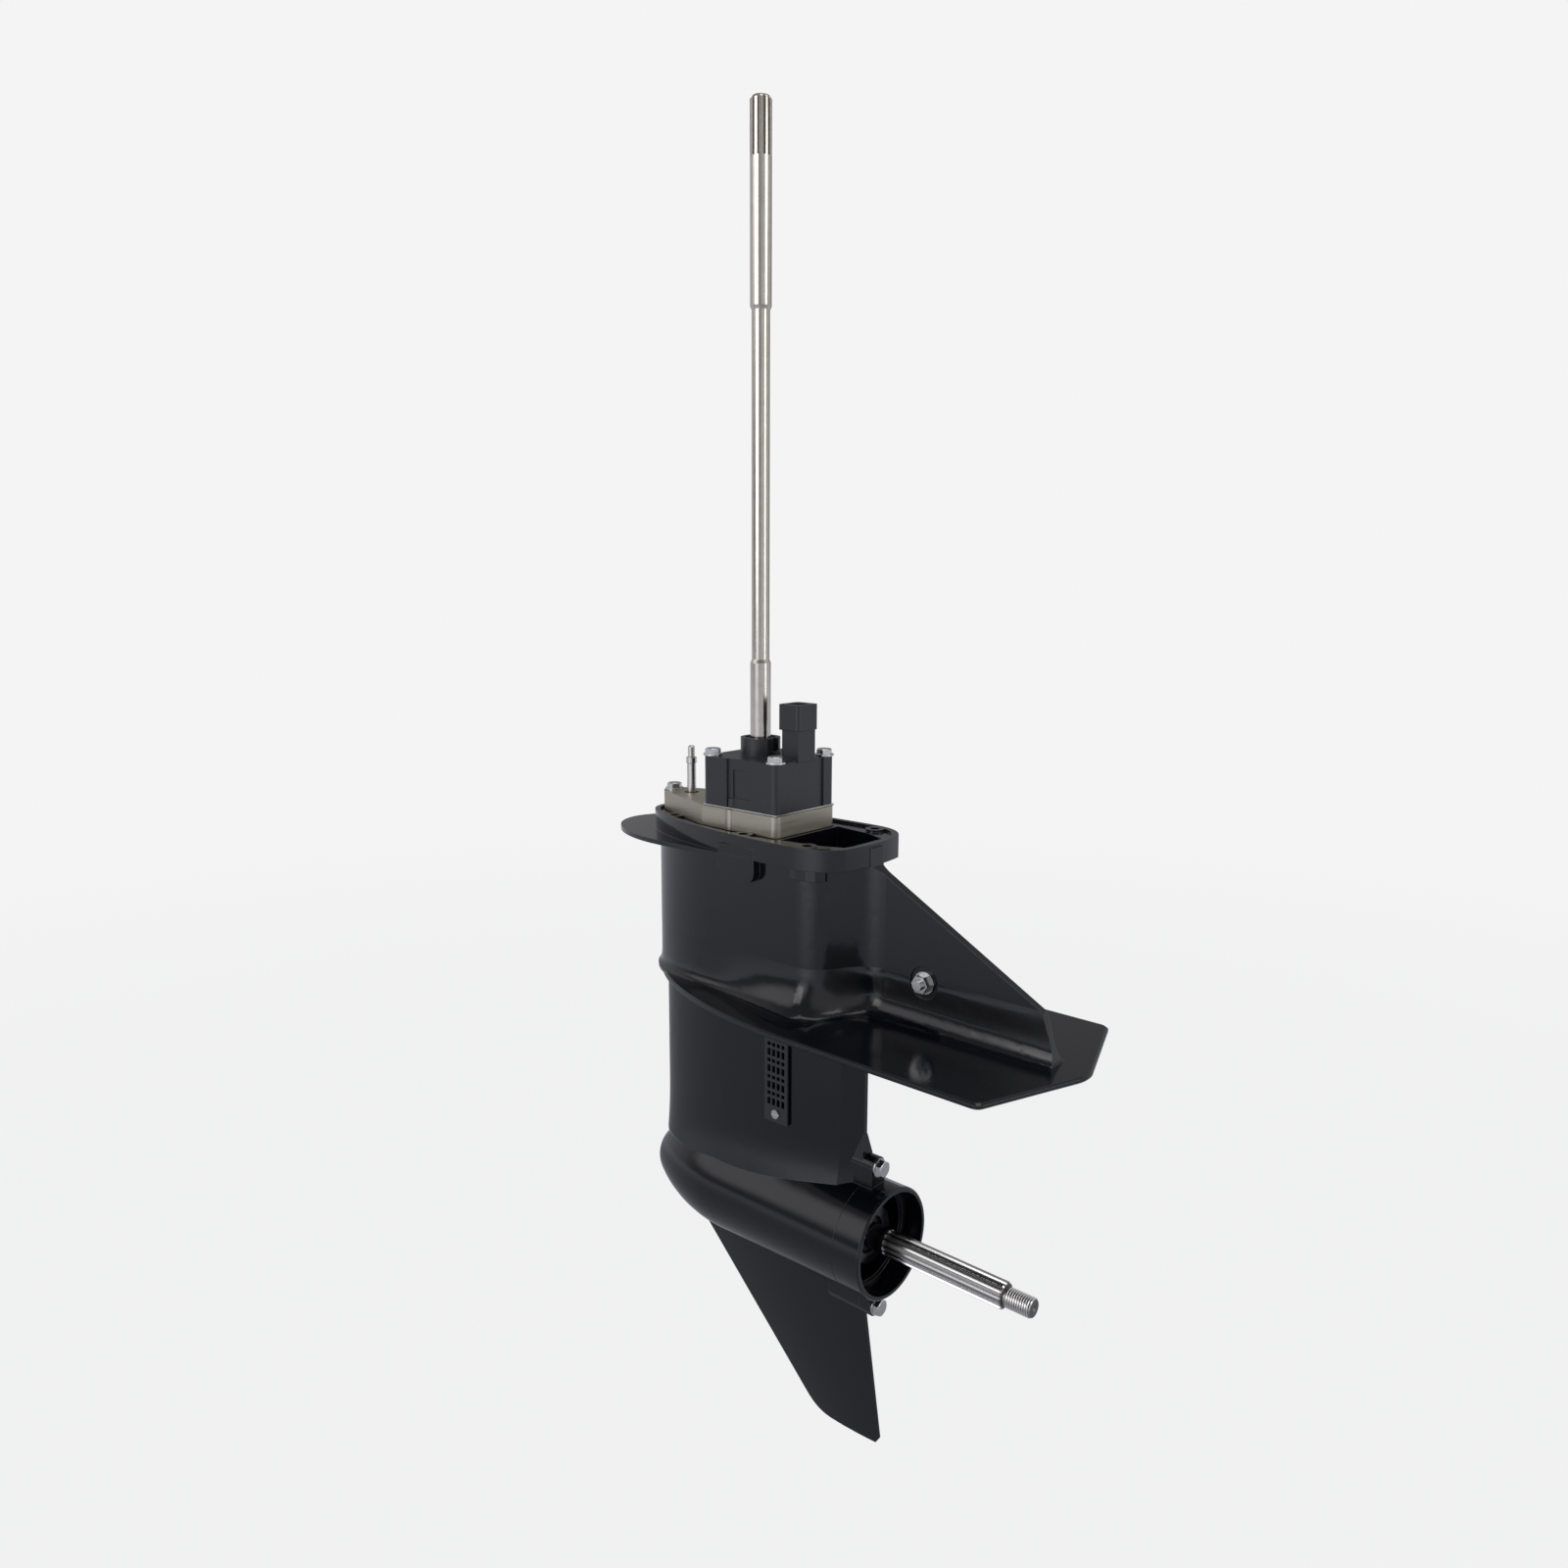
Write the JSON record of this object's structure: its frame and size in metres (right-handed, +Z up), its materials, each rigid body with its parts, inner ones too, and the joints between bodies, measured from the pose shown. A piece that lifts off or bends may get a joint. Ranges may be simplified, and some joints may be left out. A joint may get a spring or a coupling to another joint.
{
  "type": "outboard lower unit",
  "caption": "Outboard motor lower unit with a black gearcase and skeg, splined shafts, bevel gears, dog clutch, shift rod and water pump.",
  "frame": {"origin": "on the driveshaft axis, in the plane of the mounting flange's top face", "axes": "+Z up along the driveshaft, +X aft along the propeller shaft, +Y to starboard"},
  "size_m": [0.4768, 0.191, 1.105],
  "materials": {
    "black_gloss_paint": "gloss",
    "black_moulded_plastic": "satin",
    "cast_base_metal": "satin",
    "stainless_steel": "polished",
    "zinc_plated_steel": "satin",
    "gear_steel": "satin",
    "bearing_steel": "polished",
    "black_rubber": "matte",
    "fibre_gasket": "matte"
  },
  "bodies": {
    "gearcase_body": {"gearcase": "black_gloss_paint", "bearing_carrier": "black_gloss_paint", "water_inlet_cover_port": "black_moulded_plastic", "water_inlet_cover_starboard": "black_moulded_plastic", "pump_housing": "black_moulded_plastic", "pump_base": "cast_base_metal", "pump_base_gasket": "fibre_gasket", "wear_plate_gasket": "fibre_gasket", "wear_plate": "stainless_steel", "pump_liner": "stainless_steel", "inlet_cover_screws": "stainless_steel", "oil_level_plug": "stainless_steel", "oil_drain_plug": "stainless_steel", "pump_bolts": "zinc_plated_steel", "base_bolt": "zinc_plated_steel", "carrier_bolts": "zinc_plated_steel", "web_bolt": "zinc_plated_steel", "web_nut": "zinc_plated_steel", "dowel_pins": "zinc_plated_steel", "forward_bearing_cup": "bearing_steel", "reverse_bearing_outer": "bearing_steel", "reverse_bearing_cage": "bearing_steel", "driveshaft_bearing_cup": "bearing_steel", "driveshaft_needle_bearing": "bearing_steel", "carrier_needle_bearing": "bearing_steel", "carrier_seals": "black_rubber", "carrier_o_ring": "black_rubber", "driveshaft_seals": "black_rubber", "shift_rod_seal": "black_rubber", "driveshaft_grommet": "black_rubber", "water_tube_seal": "black_rubber"},
    "driveshaft_body": {"driveshaft": "stainless_steel", "pinion_gear": "gear_steel", "pinion_nut": "gear_steel", "driveshaft_bearing_cone": "bearing_steel", "impeller": "black_rubber", "impeller_key": "stainless_steel"},
    "forward_gear_body": {"forward_gear": "gear_steel", "forward_bearing_cone": "bearing_steel"},
    "reverse_gear_body": {"reverse_gear": "gear_steel", "reverse_bearing_inner": "bearing_steel"},
    "prop_shaft_body": {"prop_shaft": "stainless_steel", "thrust_washer": "bearing_steel"},
    "clutch_body": {"clutch_dog": "gear_steel", "clutch_cross_pin": "bearing_steel", "clutch_spring_ring": "bearing_steel", "shift_plunger": "gear_steel"},
    "shift_rod_body": {"shift_rod": "stainless_steel", "shift_cam": "gear_steel"}
  },
  "joints": [
    {"name": "driveshaft_spin", "type": "hinge", "parent": "gearcase_body", "child": "driveshaft_body", "pos_m": [0, 0, 0], "axis": [0, 0, 1], "continuous": true},
    {"name": "forward_gear_spin", "type": "hinge", "parent": "gearcase_body", "child": "forward_gear_body", "pos_m": [0, 0, -0.337], "axis": [1, 0, 0], "continuous": true},
    {"name": "reverse_gear_spin", "type": "hinge", "parent": "gearcase_body", "child": "reverse_gear_body", "pos_m": [0, 0, -0.337], "axis": [1, 0, 0], "continuous": true},
    {"name": "prop_shaft_spin", "type": "hinge", "parent": "gearcase_body", "child": "prop_shaft_body", "pos_m": [0, 0, -0.337], "axis": [1, 0, 0], "continuous": true},
    {"name": "shift_rod_slide", "type": "slide", "parent": "gearcase_body", "child": "shift_rod_body", "axis": [0, 0, 1], "range_m": [-0.008, 0.008]},
    {"name": "clutch_slide", "type": "slide", "parent": "prop_shaft_body", "child": "clutch_body", "axis": [1, 0, 0], "range_m": [-0.0035, 0.0035]}
  ],
  "couplings": [
    {"joint": "forward_gear_spin", "follows": "driveshaft_spin", "ratio": 0.54167},
    {"joint": "reverse_gear_spin", "follows": "driveshaft_spin", "ratio": -0.54167},
    {"joint": "clutch_slide", "follows": "shift_rod_slide", "ratio": 0.4375}
  ]
}
